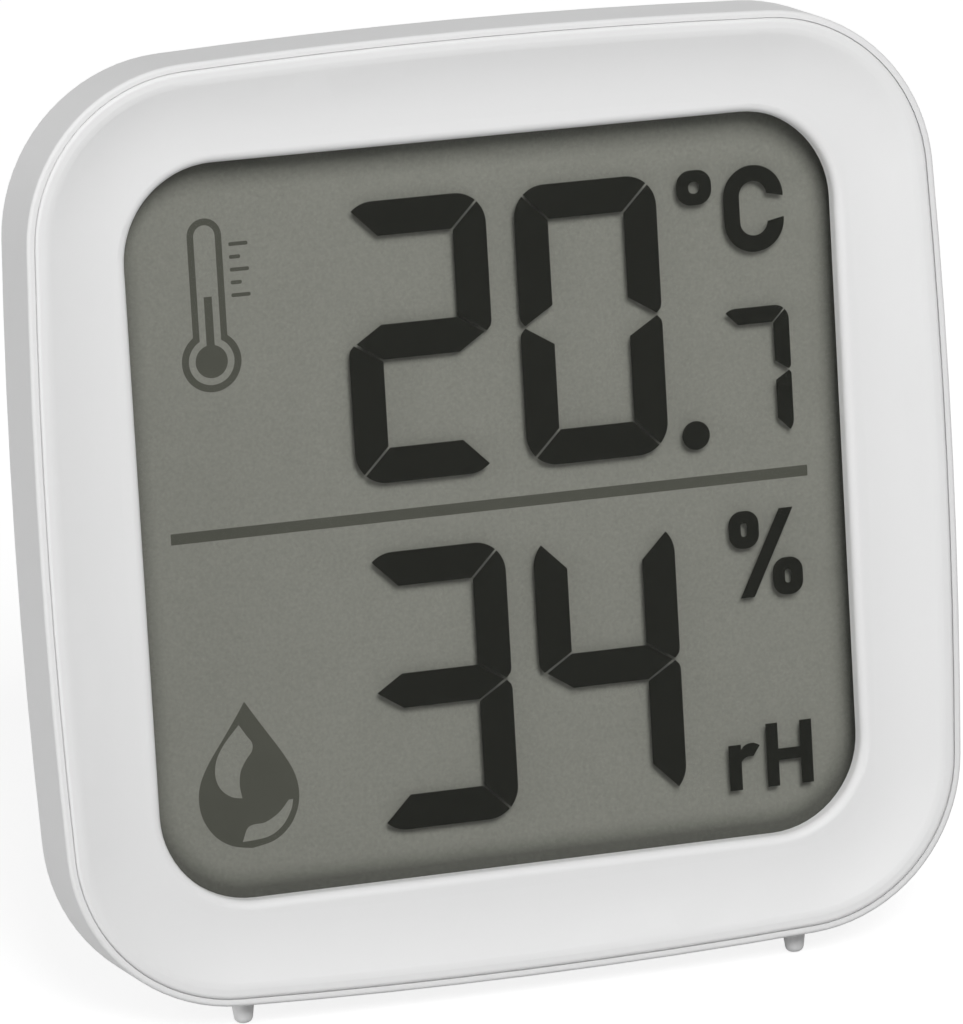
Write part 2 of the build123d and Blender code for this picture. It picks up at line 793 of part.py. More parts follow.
# Unit button: a cap, a flange that holds it behind the wall and a stem to the plunger
with BuildPart() as unit_button:
    stem_front = switch_rear + plunger_reach
    flange_back = back_inner - button_clearance
    with BuildSketch(layer(case_back + button_proud)):
        with Locations(button_place):
            Circle(button_radius)
    extrude(amount=case_back + button_proud - flange_back)
    chamfer(unit_button.faces().sort_by(front_axis)[0].edges(), button_chamfer)
    with BuildSketch(layer(flange_back)):
        with Locations(button_place):
            Circle(button_radius + button_flange)
    extrude(amount=button_flange_thickness)
    with BuildSketch(layer(flange_back - button_flange_thickness)):
        with Locations(button_place):
            Circle(stem_radius)
    extrude(amount=flange_back - button_flange_thickness - stem_front)
unit_button.part.label = "unit_button"
export_step(unit_button.part, "parts/unit_button.step")
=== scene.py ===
from math import acos, cos, degrees, pi, radians, sin

import bpy
from bpy.props import FloatProperty, FloatVectorProperty, PointerProperty, StringProperty
from mathutils import Matrix, Vector


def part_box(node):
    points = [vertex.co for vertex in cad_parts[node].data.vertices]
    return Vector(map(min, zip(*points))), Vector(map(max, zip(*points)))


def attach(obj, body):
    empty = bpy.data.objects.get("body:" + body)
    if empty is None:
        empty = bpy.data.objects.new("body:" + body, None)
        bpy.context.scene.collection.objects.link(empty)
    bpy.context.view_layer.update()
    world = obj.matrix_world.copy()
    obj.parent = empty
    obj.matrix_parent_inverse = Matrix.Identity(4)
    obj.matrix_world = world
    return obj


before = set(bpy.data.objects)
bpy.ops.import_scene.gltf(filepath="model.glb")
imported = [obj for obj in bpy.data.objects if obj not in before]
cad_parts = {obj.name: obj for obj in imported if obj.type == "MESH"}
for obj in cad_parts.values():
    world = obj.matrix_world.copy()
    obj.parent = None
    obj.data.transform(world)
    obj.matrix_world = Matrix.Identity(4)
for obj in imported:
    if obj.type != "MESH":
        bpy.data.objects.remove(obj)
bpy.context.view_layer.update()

bl_info = {
    "name": "Thermo-hygrometer",
    "version": (1, 0, 0),
    "blender": (4, 5, 0),
    "location": "3D View > Sidebar > Hygrometer",
    "description": "Finishes, display readings and studio for a small digital thermo-hygrometer",
    "category": "Object",
}

MM = 0.001
LEAN = radians(10.5)  # how far the case leans back

SEGMENT_DEPTH = 0.628 * MM  # from the middle of the front film to the inner side of the front glass
SEGMENT_THICKNESS = 0.012 * MM
PRINT_DEPTH = 1.186 * MM  # from the same place to the face of the reflector
PRINT_THICKNESS = 0.006 * MM
GLUE_LINE = 0.008 * MM  # the clear layers shrink by this, so that no two faces lie in one plane

DIGIT_LEFT = -8.99  # the display's drawings are in millimetres, from the window's middle
DIGIT_PITCH = 11.25
TEMPERATURE_FOOT = 1.98
HUMIDITY_FOOT = -20.15
BULB_X, BULB_Y = -17.8, 10.81

FLOOR_HALF, FLOOR_CORNER = 1.6, 0.4
LAMP_AIM = Vector((0, 0, 0.03))
CLEAR_FACES = 24  # the clear faces that a ray to a lamp may pass, there and back through the display


# Settings that a user would change


class ShellSettings(bpy.types.PropertyGroup):
    shell_colour: FloatVectorProperty(
        name="Shell",
        description="Colour of the moulded white plastic",
        subtype="COLOR",
        default=(0.775, 0.775, 0.775),
        min=0,
        max=1,
    )
    button_colour: FloatVectorProperty(
        name="Button",
        description="Colour of the unit button",
        subtype="COLOR",
        default=(0.36, 0.37, 0.37),
        min=0,
        max=1,
    )
    gloss_roughness: FloatProperty(
        name="Front roughness",
        description="Roughness of the polished front plate",
        subtype="FACTOR",
        default=0.45,
        min=0,
        max=1,
    )
    satin_roughness: FloatProperty(
        name="Rear roughness",
        description="Roughness of the eroded rear case",
        subtype="FACTOR",
        default=0.75,
        min=0,
        max=1,
    )


class DisplaySettings(bpy.types.PropertyGroup):
    temperature: StringProperty(name="Temperature", description="Whole degrees shown", default="20")
    tenths: StringProperty(name="Tenths", description="Tenths of a degree shown", default="7")
    humidity: StringProperty(name="Humidity", description="Relative humidity shown", default="34")
    digit_width: FloatProperty(
        name="Digit width", description="Width of a large digit", unit="LENGTH", default=9.4 * MM, precision=5
    )
    digit_height: FloatProperty(
        name="Digit height", description="Height of a large digit", unit="LENGTH", default=17.75 * MM, precision=5
    )
    digit_stroke: FloatProperty(
        name="Digit stroke", description="Width of a large segment", unit="LENGTH", default=2.2 * MM, precision=5
    )
    digit_gap: FloatProperty(
        name="Segment gap", description="Gap between segments", unit="LENGTH", default=0.135 * MM, precision=5
    )
    segment_colour: FloatVectorProperty(
        name="Segments", description="Colour of a segment that is on", subtype="COLOR", default=(0.014, 0.0145, 0.0118)
    )
    print_colour: FloatVectorProperty(
        name="Print", description="Colour of the printed signs", subtype="COLOR", default=(0.0755, 0.077, 0.0625)
    )
    reflector_colour: FloatVectorProperty(
        name="Reflector", description="Colour behind the segments", subtype="COLOR", default=(0.216, 0.2185, 0.191)
    )


class StudioSettings(bpy.types.PropertyGroup):
    camera_place: FloatVectorProperty(
        name="Camera",
        description="Where the camera stands",
        subtype="TRANSLATION",
        default=(-0.14635436, -0.44792388, 0.19748945),
        precision=6,
    )
    camera_aim: FloatVectorProperty(
        name="Aim",
        description="What the camera looks at",
        subtype="TRANSLATION",
        default=(0.00022909, -0.00059850, 0.02885157),
        precision=6,
    )
    camera_lens: FloatProperty(
        name="Lens", description="Focal length on a 36 mm sensor", unit="CAMERA", default=278.529, min=1, max=1000
    )
    key_level: FloatProperty(
        name="Key", description="Brightness that the upper lamp gives to the shell", default=0.63, min=0
    )
    side_level: FloatProperty(
        name="Side", description="Brightness that the left lamp gives to the shell", default=0.37, min=0
    )
    back_level: FloatProperty(
        name="Back", description="Brightness that the rear lamp gives to the shell", default=0.3, min=0
    )
    room_level: FloatProperty(
        name="Room", description="Brightness of the room all round", default=0.155, min=0
    )


# Shader building


class Signal:
    """One output of a shader node, which takes part in arithmetic."""

    def __init__(self, recipe, socket):
        self.recipe = recipe
        self.socket = socket

    def _combine(self, operation, first, second):
        return self.recipe.node("ShaderNodeMath", {"operation": operation}, {0: first, 1: second})

    def __add__(self, other):
        return self._combine("ADD", self, other)

    def __radd__(self, other):
        return self._combine("ADD", other, self)

    def __sub__(self, other):
        return self._combine("SUBTRACT", self, other)

    def __rsub__(self, other):
        return self._combine("SUBTRACT", other, self)

    def __mul__(self, other):
        return self._combine("MULTIPLY", self, other)

    def __truediv__(self, other):
        return self._combine("DIVIDE", self, other)

    def __pow__(self, other):
        return self._combine("POWER", self, other)

    def __abs__(self):
        return self.recipe.node("ShaderNodeMath", {"operation": "ABSOLUTE"}, {0: self})

    def __gt__(self, other):
        return self._combine("GREATER_THAN", self, other)

    def __lt__(self, other):
        return self._combine("LESS_THAN", self, other)


class Recipe:
    """A material, or the world, that is written node by node."""

    def __init__(self, owner):
        owner.use_nodes = True
        self.owner = owner
        self.tree = owner.node_tree
        self.tree.nodes.clear()

    def node(self, kind, settings, inputs, output=0):
        """Makes a node with its settings and its inputs, and gives back one output."""
        made = self.tree.nodes.new(kind)
        for name, value in settings.items():
            if name == "stops":
                ramp = made.color_ramp
                while len(ramp.elements) < len(value):
                    ramp.elements.new(0.5)
                for element, (position, colour) in zip(ramp.elements, value):
                    element.position = position
                    element.color = (*colour, 1)
            else:
                setattr(made, name, value)
        for name, value in inputs.items():
            socket = made.inputs[name]
            if isinstance(value, Signal):
                self.tree.links.new(value.socket, socket)
            elif hasattr(socket.default_value, "__len__") and len(socket.default_value) == 4 and len(value) == 3:
                socket.default_value = (*value, 1)
            else:
                socket.default_value = value
        return Signal(self, made.outputs[output])

    def place(self):
        return self.node("ShaderNodeTexCoord", {}, {}, "Object")

    def share(self):
        return self.node("ShaderNodeTexCoord", {}, {}, "Generated")

    def axis(self, vector, name):
        return self.node("ShaderNodeSeparateXYZ", {}, {0: vector}, name)

    def noise(self, scale, detail=2.0, roughness=0.5, vector=None):
        return self.node(
            "ShaderNodeTexNoise",
            {"noise_dimensions": "3D"},
            {"Vector": vector or self.place(), "Scale": scale, "Detail": detail, "Roughness": roughness},
        )

    def cells(self, scale):
        return self.node("ShaderNodeTexVoronoi", {}, {"Vector": self.place(), "Scale": scale}, "Distance")

    def blend(self, factor, first, second):
        return self.node("ShaderNodeMix", {"data_type": "RGBA"}, {0: factor, 6: first, 7: second}, 2)

    def ramp(self, factor, *stops):
        return self.node("ShaderNodeValToRGB", {"stops": stops}, {0: factor})

    def above(self, value, least):
        """The value, but never under the least."""
        return self.node("ShaderNodeMath", {"operation": "MAXIMUM"}, {0: value, 1: least})

    def below(self, value, most):
        """The value, but never over the most."""
        return self.node("ShaderNodeMath", {"operation": "MINIMUM"}, {0: value, 1: most})

    def bump(self, height, distance):
        return self.node("ShaderNodeBump", {}, {"Height": height, "Distance": distance}, "Normal")

    def surface(self, **inputs):
        """Ends the recipe with the one surface shader, whose inputs are named in words: base_color, roughness."""
        named = {name.replace("_", " ").title().replace("Ior", "IOR"): value for name, value in inputs.items()}
        self.finish(self.node("ShaderNodeBsdfPrincipled", {}, named))
        return self.owner

    def finish(self, shader):
        kind = "World" if isinstance(self.owner, bpy.types.World) else "Material"
        output = self.tree.nodes.new("ShaderNodeOutput" + kind)
        self.tree.links.new(shader.socket, output.inputs["Surface"])


def shade(colour, factor):
    """The colour made lighter or darker."""
    return tuple(min(channel * factor, 1.0) for channel in colour)


def moulded_plastic(name, colour, roughness, grain_size, grain_depth, shine=0.3):
    """Injection moulded plastic: faint flow clouds, uneven polish and the fine grain of the tool."""
    recipe = Recipe(bpy.data.materials.new(name))
    clouds = recipe.noise(90, detail=3)
    specks = recipe.noise(5200, detail=1)
    tone = recipe.blend(clouds * 0.7 + specks * 0.3, shade(colour, 0.985), shade(colour, 1.015))
    polish = recipe.noise(420, detail=4, roughness=0.6)
    grain = recipe.noise(1 / (grain_size * MM), detail=2, roughness=0.55)
    waves = recipe.noise(160, detail=1)
    return recipe.surface(
        base_color=tone,
        roughness=roughness - 0.05 + polish * 0.1,
        ior=1.49,
        specular_ior_level=shine,
        normal=recipe.bump(grain + waves * 0.8, grain_depth * MM),
    )


def clear_layer(name, tint, alpha, roughness, haze_size):
    """A clear sheet that shows only by its faint haze and its gloss, but for its opaque cut edges, whose dark colour
    is partly the cut glass's own tint and partly painted shade matched to the shade under the frame.
    """
    recipe = Recipe(bpy.data.materials.new(name))
    haze = recipe.noise(1 / (haze_size * MM), detail=3)
    normal = recipe.node("ShaderNodeNewGeometry", {}, {}, "True Normal")
    facing = recipe.node(
        "ShaderNodeVectorMath", {"operation": "DOT_PRODUCT"}, {0: normal, 1: (0, -cos(LEAN), sin(LEAN))}, "Value"
    )
    # The cut edges are opaque and dark: partly the cut glass's own tint, partly painted shade that matches the shade
    # under the frame.
    cut_edge = abs(facing) < 0.5
    material = recipe.surface(
        base_color=recipe.blend(cut_edge, recipe.blend(haze, shade(tint, 0.94), tint), shade(tint, 0.2)),
        roughness=roughness - 0.03 + haze * 0.06,
        ior=1.5,
        alpha=recipe.above(cut_edge, alpha * 0.8 + haze * (alpha * 0.4)),
        normal=recipe.bump(haze, 0.0004 * MM),
    )
    material.surface_render_method = "BLENDED"
    return material


def display_ink(name, colour, roughness):
    """Segments and prints inside the display: dark, a little uneven, with hardly any shine."""
    recipe = Recipe(bpy.data.materials.new(name))
    cloud = recipe.noise(240, detail=3)
    fine = recipe.noise(7000, detail=1)
    return recipe.surface(
        base_color=recipe.blend(cloud * 0.6 + fine * 0.4, shade(colour, 0.9), shade(colour, 1.1)),
        roughness=roughness - 0.05 + fine * 0.1,
        specular_ior_level=0.02,
    )


def reflector_film(name, colour):
    """The grey-green film behind the segments: fine sparkle, and painted shade that darkens it towards the frame,
    where the frame's shadow falls.
    """
    recipe = Recipe(bpy.data.materials.new(name))
    sparkle = recipe.noise(4600, detail=2, roughness=0.7)
    cloud = recipe.noise(260, detail=3)
    mix = sparkle * 0.85 + cloud * 0.15
    bright = recipe.ramp(mix, (0.3, shade(colour, 0.9)), (0.7, shade(colour, 1.1)))
    # Painted shade along the frame: the colour darkens over the last stretch before the window's edge, standing in for
    # the frame's shadow on the film.
    beyond = edge_distance(recipe, right=0.3 * MM, up=0.35 * MM, half=17.2 * MM)
    shade_start, shade_width = 4.6 * MM, 1.4 * MM
    depth = recipe.below(recipe.above((beyond - shade_start) / shade_width, 0.0), 1.0)
    return recipe.surface(
        base_color=recipe.blend(depth**1.6 * 0.5, bright, shade(colour, 0.02)),
        roughness=0.62 + sparkle * 0.1,
        specular_ior_level=0.06,
        normal=recipe.bump(sparkle, 0.0015 * MM),
    )


def edge_distance(recipe, right, up, half):
    """The distance outside a square in the display's plane, whose middle lies right and up of the film's."""
    middle = film_middle()
    place = recipe.place()
    level = middle.y * sin(LEAN) + middle.z * cos(LEAN) + up
    across = recipe.axis(place, "X") - (middle.x + right)
    along = recipe.axis(place, "Y") * sin(LEAN) + recipe.axis(place, "Z") * cos(LEAN) - level
    return (recipe.above(abs(across) - half, 0.0) ** 2 + recipe.above(abs(along) - half, 0.0) ** 2) ** 0.5


def film_middle():
    """The middle of the display's front film."""
    low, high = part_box("lcd_front_polariser")
    return (low + high) / 2


def drawn_metal(name, colour, roughness, line_scale):
    """Rolled steel or nickel strip with fine draw lines and small scuffs."""
    recipe = Recipe(bpy.data.materials.new(name))
    stretched = recipe.node(
        "ShaderNodeMapping",
        {"vector_type": "POINT"},
        {"Vector": recipe.place(), "Scale": (line_scale, line_scale * 0.06, line_scale)},
    )
    lines = recipe.noise(1.0, detail=4, vector=stretched)
    scuffs = recipe.cells(900)
    return recipe.surface(
        base_color=recipe.blend(lines, shade(colour, 0.86), shade(colour, 1.1)),
        metallic=1.0,
        roughness=roughness + lines * 0.14 - scuffs * 0.04,
        normal=recipe.bump(lines, 0.002 * MM),
    )


def soft_rubber(name, colour, cell_size):
    """Rubber or foam: matt, dark, with small open cells."""
    recipe = Recipe(bpy.data.materials.new(name))
    pores = recipe.cells(1 / (cell_size * MM))
    dust = recipe.noise(700, detail=4)
    return recipe.surface(
        base_color=recipe.blend(dust, shade(colour, 0.8), shade(colour, 1.25)),
        roughness=0.8 + dust * 0.1,
        normal=recipe.bump(pores, 0.02 * MM),
    )


def solder_mask(name, mask, copper):
    """Circuit board: gloss solder mask that rises over the tracks, and the weave of the laminate."""
    recipe = Recipe(bpy.data.materials.new(name))
    tracks = recipe.node(
        "ShaderNodeTexBrick",
        {"offset": 0.5, "squash": 1.0},
        {
            "Vector": recipe.place(),
            "Scale": 220.0,
            "Mortar Size": 0.045,
            "Mortar Smooth": 0.2,
            "Brick Width": 0.9,
            "Row Height": 0.34,
        },
        "Fac",
    )
    weave = recipe.noise(2600, detail=2)
    covered = recipe.blend(weave, shade(mask, 0.85), shade(mask, 1.15))
    return recipe.surface(
        base_color=recipe.blend(tracks * 0.45, covered, copper),
        roughness=0.24 + weave * 0.12,
        normal=recipe.bump(tracks + weave * 0.15, 0.018 * MM),
    )


def chip_body(name, body, ends):
    """A chip part: a ceramic body with tinned ends."""
    recipe = Recipe(bpy.data.materials.new(name))
    along = recipe.axis(recipe.share(), "X")
    tinned = (along < 0.2) + (along > 0.8)
    grit = recipe.noise(4200, detail=3)
    body_tone = recipe.blend(grit, shade(body, 0.85), shade(body, 1.15))
    end_tone = recipe.blend(grit, shade(ends, 0.9), shade(ends, 1.05))
    return recipe.surface(
        base_color=recipe.blend(tinned, body_tone, end_tone),
        metallic=tinned,
        roughness=0.55 - tinned * 0.25 + grit * 0.08,
        normal=recipe.bump(grit, 0.004 * MM),
    )


def dress(material, *nodes):
    """Gives the material to CAD nodes."""
    for name in nodes:
        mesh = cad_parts[name].data
        if mesh.materials:
            mesh.materials[0] = material
        else:
            mesh.materials.append(material)


# The display: drawn in millimetres from the window's middle, x to the right and y up


def display_matrix(depth, right, down):
    """Places a flat figure this deep behind the middle of the front film, and this far right and down of it."""
    forward = Vector((0, -cos(LEAN), sin(LEAN)))
    up = Vector((0, sin(LEAN), cos(LEAN)))
    turn = Matrix((Vector((1, 0, 0)), up, forward)).transposed().to_4x4()
    place = film_middle() - forward * depth + Vector((right, 0, 0)) - up * down
    return Matrix.Translation(place) @ turn


def arc(centre_x, centre_y, radius, start, end, steps):
    """Points of an arc, with its angles in degrees."""
    turns = [radians(start + (end - start) * step / steps) for step in range(steps + 1)]
    return [(centre_x + radius * cos(turn), centre_y + radius * sin(turn)) for turn in turns]


def join_angle(half_width, radius):
    """The angle above the horizontal at which a tube of that half width meets a circle, in degrees."""
    return degrees(acos(half_width / radius))


def rounded_box(centre_x, centre_y, half_width, half_height, radius):
    """A rectangle with round corners."""
    across, along = half_width - radius, half_height - radius
    points = []
    for start, side, level in ((0, 1, 1), (90, -1, 1), (180, -1, -1), (270, 1, -1)):
        points += arc(centre_x + side * across, centre_y + level * along, radius, start, start + 90, 8)
    return points


def smooth_line(points, steps=8):
    """A curve through the points, without the last one, so that lines can follow each other."""
    line = []
    last = len(points) - 1
    for index in range(last):
        before = Vector(points[max(index - 1, 0)])
        start = Vector(points[index])
        end = Vector(points[index + 1])
        after = Vector(points[min(index + 2, last)])
        for step in range(steps):
            t = step / steps
            bend = (
                2 * start
                + (end - before) * t
                + (2 * before - 5 * start + 4 * end - after) * t**2
                + (3 * start - before - 3 * end + after) * t**3
            )
            line.append(tuple(bend / 2))
    return line


def flipped(points, width=None, height=None):
    """The points mirrored in the middle of that width or height."""
    if width is not None:
        points = [(width - x, y) for x, y in points]
    if height is not None:
        points = [(x, height - y) for x, y in points]
    return points


# The segments that each figure lights: a at the top, then clockwise to f, and g in the middle
LIT = {
    "0": "abcdef",
    "1": "bc",
    "2": "abdeg",
    "3": "abcdg",
    "4": "bcfg",
    "5": "acdfg",
    "6": "acdefg",
    "7": "abc",
    "8": "abcdefg",
    "9": "abcdfg",
}


def digit(character, left, foot, width, height, stroke, gap):
    """Outlines of the lit segments of one digit, with mitred joints and round outer corners."""
    radius = stroke * 0.92  # of the outer corners
    turn = degrees(gap / 2 / radius)  # the corner's arc that half a gap takes
    notch = gap * 0.72  # half of the gap at the inner corners
    tip = stroke * 0.17  # how far the middle bar's points stay inside the sides
    middle = height / 2
    top = arc(radius, height - radius, radius, 135 - turn, 90, 6)
    top += arc(width - radius, height - radius, radius, 90, 45 + turn, 6)
    top += [(width - stroke - notch, height - stroke), (stroke + notch, height - stroke)]
    side = arc(width - radius, height - radius, radius, 45 - turn, 0, 6)
    side += [
        (width, middle + stroke * 0.3),
        (width - tip * 0.18, middle + stroke * 0.17),
        (width - tip * 0.9, middle + gap * 0.55),
        (width - stroke, middle + stroke / 2 + gap),
        (width - stroke, height - stroke - notch),
    ]
    bar = [
        (tip + gap, middle),
        (stroke, middle + stroke / 2),
        (width - stroke, middle + stroke / 2),
        (width - tip - gap, middle),
        (width - stroke, middle - stroke / 2),
        (stroke, middle - stroke / 2),
    ]
    segments = {
        "a": top,
        "b": side,
        "c": flipped(side, height=height),
        "d": flipped(top, height=height),
        "e": flipped(side, width, height),
        "f": flipped(side, width),
        "g": bar,
    }
    return [[(left + x, foot + y) for x, y in segments[name]] for name in LIT[character]]


def ring(centre_x, centre_y, outer, inner):
    """A round-cornered ring: its outer and its inner line, each a half width, half height and radius."""
    return [rounded_box(centre_x, centre_y, *outer), rounded_box(centre_x, centre_y, *inner)]


def figure(name, outlines, thickness, matrix, material):
    """A flat figure with a small thickness from closed outlines in millimetres, with holes where they nest."""
    curve = bpy.data.curves.new(name, "CURVE")
    curve.dimensions = "2D"
    curve.fill_mode = "BOTH"
    curve.extrude = thickness / 2
    for outline in outlines:
        spline = curve.splines.new("POLY")
        spline.points.add(len(outline) - 1)
        for point, (x, y) in zip(spline.points, outline):
            point.co = (x * MM, y * MM, 0, 1)
        spline.use_cyclic_u = True
    drawn = bpy.data.objects.new(name + "_line", curve)
    bpy.context.scene.collection.objects.link(drawn)
    bpy.context.view_layer.update()
    mesh = bpy.data.meshes.new_from_object(drawn.evaluated_get(bpy.context.evaluated_depsgraph_get()))
    bpy.data.objects.remove(drawn)
    mesh.name = name
    mesh.materials.clear()
    mesh.materials.append(material)
    piece = bpy.data.objects.new(name, mesh)
    bpy.context.scene.collection.objects.link(piece)
    piece.matrix_world = matrix
    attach(piece, "case")


class HYGROMETER_OT_shell(bpy.types.Operator):
    """Finish the moulded shell: front plate, rear case, leg, door and button"""

    bl_idname = "hygrometer.shell"
    bl_label = "Finish the shell"

    def execute(self, context):
        settings = context.scene.hygrometer_shell
        front = moulded_plastic("polished_white", settings.shell_colour, settings.gloss_roughness, 0.12, 0.0006, 0.12)
        rear = moulded_plastic("eroded_white", settings.shell_colour, settings.satin_roughness, 0.09, 0.004, 0.05)
        button = moulded_plastic("button_grey", settings.button_colour, settings.satin_roughness, 0.08, 0.003)
        dress(front, "face_plate")
        dress(rear, "rear_case", "support_leg", "battery_door")
        dress(button, "unit_button")
        return {"FINISHED"}


class HYGROMETER_OT_layers(bpy.types.Operator):
    """Finish the layers of the display: films, glasses, connector and foam"""

    bl_idname = "hygrometer.layers"
    bl_label = "Finish the display layers"

    def execute(self, context):
        settings = context.scene.hygrometer_display
        dress(clear_layer("front_film", (0.4, 0.41, 0.38), 0.006, 0.3, 0.4), "lcd_front_polariser")
        dress(clear_layer("display_glass", (0.5, 0.53, 0.5), 0.0024, 0.12, 1.5), "lcd_front_glass", "lcd_rear_glass")
        dress(reflector_film("rear_film", settings.reflector_colour), "lcd_rear_reflector")
        for name in ("lcd_front_polariser", "lcd_front_glass", "lcd_rear_glass"):
            glue_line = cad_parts[name].modifiers.new("glue_line", "DISPLACE")
            glue_line.strength = -GLUE_LINE
            glue_line.mid_level = 0
        dress(soft_rubber("connector_rubber", (0.02, 0.02, 0.02), 0.08), "zebra_strip")
        dress(soft_rubber("pressure_foam", (0.06, 0.06, 0.06), 0.25), "foam_strip")
        return {"FINISHED"}


class HYGROMETER_OT_readings(bpy.types.Operator):
    """Draw the liquid crystal segments that are on: both readings and their units"""

    bl_idname = "hygrometer.readings"
    bl_label = "Draw the readings"

    def execute(self, context):
        settings = context.scene.hygrometer_display
        ink = display_ink("segment_black", settings.segment_colour, 0.5)
        matrix = display_matrix(SEGMENT_DEPTH, 0.26 * MM, 0.09 * MM)
        width = settings.digit_width / MM
        height = settings.digit_height / MM
        stroke = settings.digit_stroke / MM
        gap = settings.digit_gap / MM
        pieces = {}
        for name, text, foot in (
            ("temperature_digits", settings.temperature, TEMPERATURE_FOOT),
            ("humidity_digits", settings.humidity, HUMIDITY_FOOT),
        ):
            pieces[name] = []
            for place, character in enumerate(text):
                left = DIGIT_LEFT + DIGIT_PITCH * place
                pieces[name] += digit(character, left, foot, width, height, stroke, gap)
        pieces["tenths_digit"] = digit(
            settings.tenths[0], left=15.56, foot=2.3, width=4.54, height=8.35, stroke=1.06, gap=0.09
        )
        pieces["decimal_point"] = [arc(13.5, 2.86, 0.92, 0, 350, 35)]
        pieces["temperature_unit"] = self.degree() + [self.letter_c()]
        pieces["humidity_unit"] = self.percent() + self.letters_rh()
        for name, outlines in pieces.items():
            figure(name, outlines, SEGMENT_THICKNESS, matrix, ink)
        return {"FINISHED"}

    def degree(self):
        return ring(14.2, 18.59, (1.17, 1.11, 0.95), (0.36, 0.38, 0.33))

    def letter_c(self):
        outer = arc(18.12, 17.67, 1.99, -3, 90, 12) + arc(18.12, 17.67, 2.0, 90, 180, 12)
        outer += arc(18.12, 16.14, 2.0, 180, 270, 12) + arc(18.12, 16.14, 1.99, 270, 363, 12)
        inner = arc(18.1, 16.11, 0.92, 355, 270, 10) + arc(18.1, 16.11, 0.92, 270, 180, 10)
        inner += arc(18.1, 17.73, 0.92, 180, 90, 10) + arc(18.1, 17.73, 0.92, 90, 5, 10)
        return outer + inner

    def percent(self):
        outer, inner = (1.01, 1.21, 0.88), (0.2, 0.45, 0.2)
        slash = [(15.92, -7.9), (16.86, -7.9), (19.7, -2.36), (18.77, -2.36)]
        return ring(16.35, -3.51, outer, inner) + ring(19.17, -6.76, outer, inner) + [slash]

    def letters_rh(self):
        stem = [(14.55, -20.25), (15.4, -20.25), (15.4, -18.45)]
        under = [(15.4, -18.45), (15.62, -18.22), (15.9, -18.13), (16.22, -18.13)]
        over = [(16.68, -17.48), (16.3, -17.29), (15.9, -17.3), (15.58, -17.44), (15.4, -17.66)]
        letter_r = stem[:2] + smooth_line(under, 4) + [under[-1]] + smooth_line(over, 4) + [over[-1]]
        letter_r += [(15.4, -17.31), (14.55, -17.31)]
        letter_h = [(17.12, -20.26), (17.92, -20.26), (17.92, -18.6), (19.42, -18.6), (19.42, -20.26)]
        letter_h += [(20.22, -20.26), (20.22, -16.16), (19.42, -16.16), (19.42, -17.86), (17.92, -17.86)]
        letter_h += [(17.92, -16.16), (17.12, -16.16)]
        return [letter_r, letter_h]


class HYGROMETER_OT_prints(bpy.types.Operator):
    """Draw the printed signs on the reflector: thermometer, drop and dividing rule"""

    bl_idname = "hygrometer.prints"
    bl_label = "Draw the printed signs"

    def execute(self, context):
        settings = context.scene.hygrometer_display
        ink = display_ink("printed_grey", settings.print_colour, 0.6)
        matrix = display_matrix(PRINT_DEPTH, 0.36 * MM, 0.24 * MM)
        pieces = {
            "dividing_rule": [rounded_box(-0.11, -0.07, 21.04, 0.35, 0.05)],
            "thermometer_sign": self.thermometer(),
            "drop_sign": self.drop(),
        }
        for name, outlines in pieces.items():
            figure(name, outlines, PRINT_THICKNESS, matrix, ink)
        return {"FINISHED"}

    def tube(self, half_width, bulb_radius, top):
        """The outline of a tube that stands on its bulb."""
        join = join_angle(half_width, bulb_radius)
        line = arc(BULB_X, top - half_width, half_width, 0, 180, 14)
        return line + arc(BULB_X, BULB_Y, bulb_radius, 180 - join, 360 + join, 40)

    def thermometer(self):
        outlines = [self.tube(1.11, 1.92, 19.76), self.tube(0.69, 1.47, 19.33)]
        half, radius, level = 0.26, 1.04, 14.86
        join = join_angle(half, radius)
        column = [(BULB_X + half, level), (BULB_X - half, level)]
        outlines.append(column + arc(BULB_X, BULB_Y, radius, 180 - join, 360 + join, 30))
        for tick in range(5):
            half = 0.62 if tick % 2 == 0 else 0.36
            outlines.append(rounded_box(-16.27 + half, 18.0 - 0.8 * tick, half, 0.12, 0.1))
        return outlines

    def drop(self):
        left = [(-17.1, 10.76), (-17.75, 11.75), (-18.7, 13.1), (-19.65, 14.45), (-20.25, 15.65), (-20.42, 16.8)]
        left += [(-20.2, 17.98), (-19.5, 19.1), (-18.45, 19.82), (-17.15, 20.1)]
        right = [(-17.15, 20.1), (-15.7, 19.78), (-14.65, 19.0), (-14.05, 17.9), (-13.9, 16.75), (-14.15, 15.55)]
        right += [(-14.8, 14.3), (-15.65, 13.0), (-16.5, 11.7), (-17.1, 10.76)]
        glint = [(-17.55, 12.2), (-17.1, 12.9), (-16.75, 13.45), (-16.8, 13.95), (-17.2, 14.45), (-17.6, 15.15)]
        glint += [(-17.72, 16.0), (-17.6, 16.87)]
        glint_back = [(-17.6, 16.87), (-18.3, 16.7), (-18.95, 16.15), (-19.25, 15.35), (-19.15, 14.35)]
        glint_back += [(-18.6, 13.35), (-17.55, 12.2)]
        sheen = [(-17.75, 19.65), (-17.42, 18.85), (-17.0, 18.62), (-16.2, 18.55), (-15.3, 18.05), (-14.6, 17.3)]
        sheen_back = [(-14.32, 17.3), (-14.5, 18.0), (-15.1, 18.9), (-16.1, 19.5), (-17.75, 19.65)]
        lines = [
            smooth_line(left) + smooth_line(right),
            smooth_line(glint) + smooth_line(glint_back),
            smooth_line(sheen) + [sheen[-1]] + smooth_line(sheen_back),
        ]
        return [[(x, -y) for x, y in line] for line in lines]


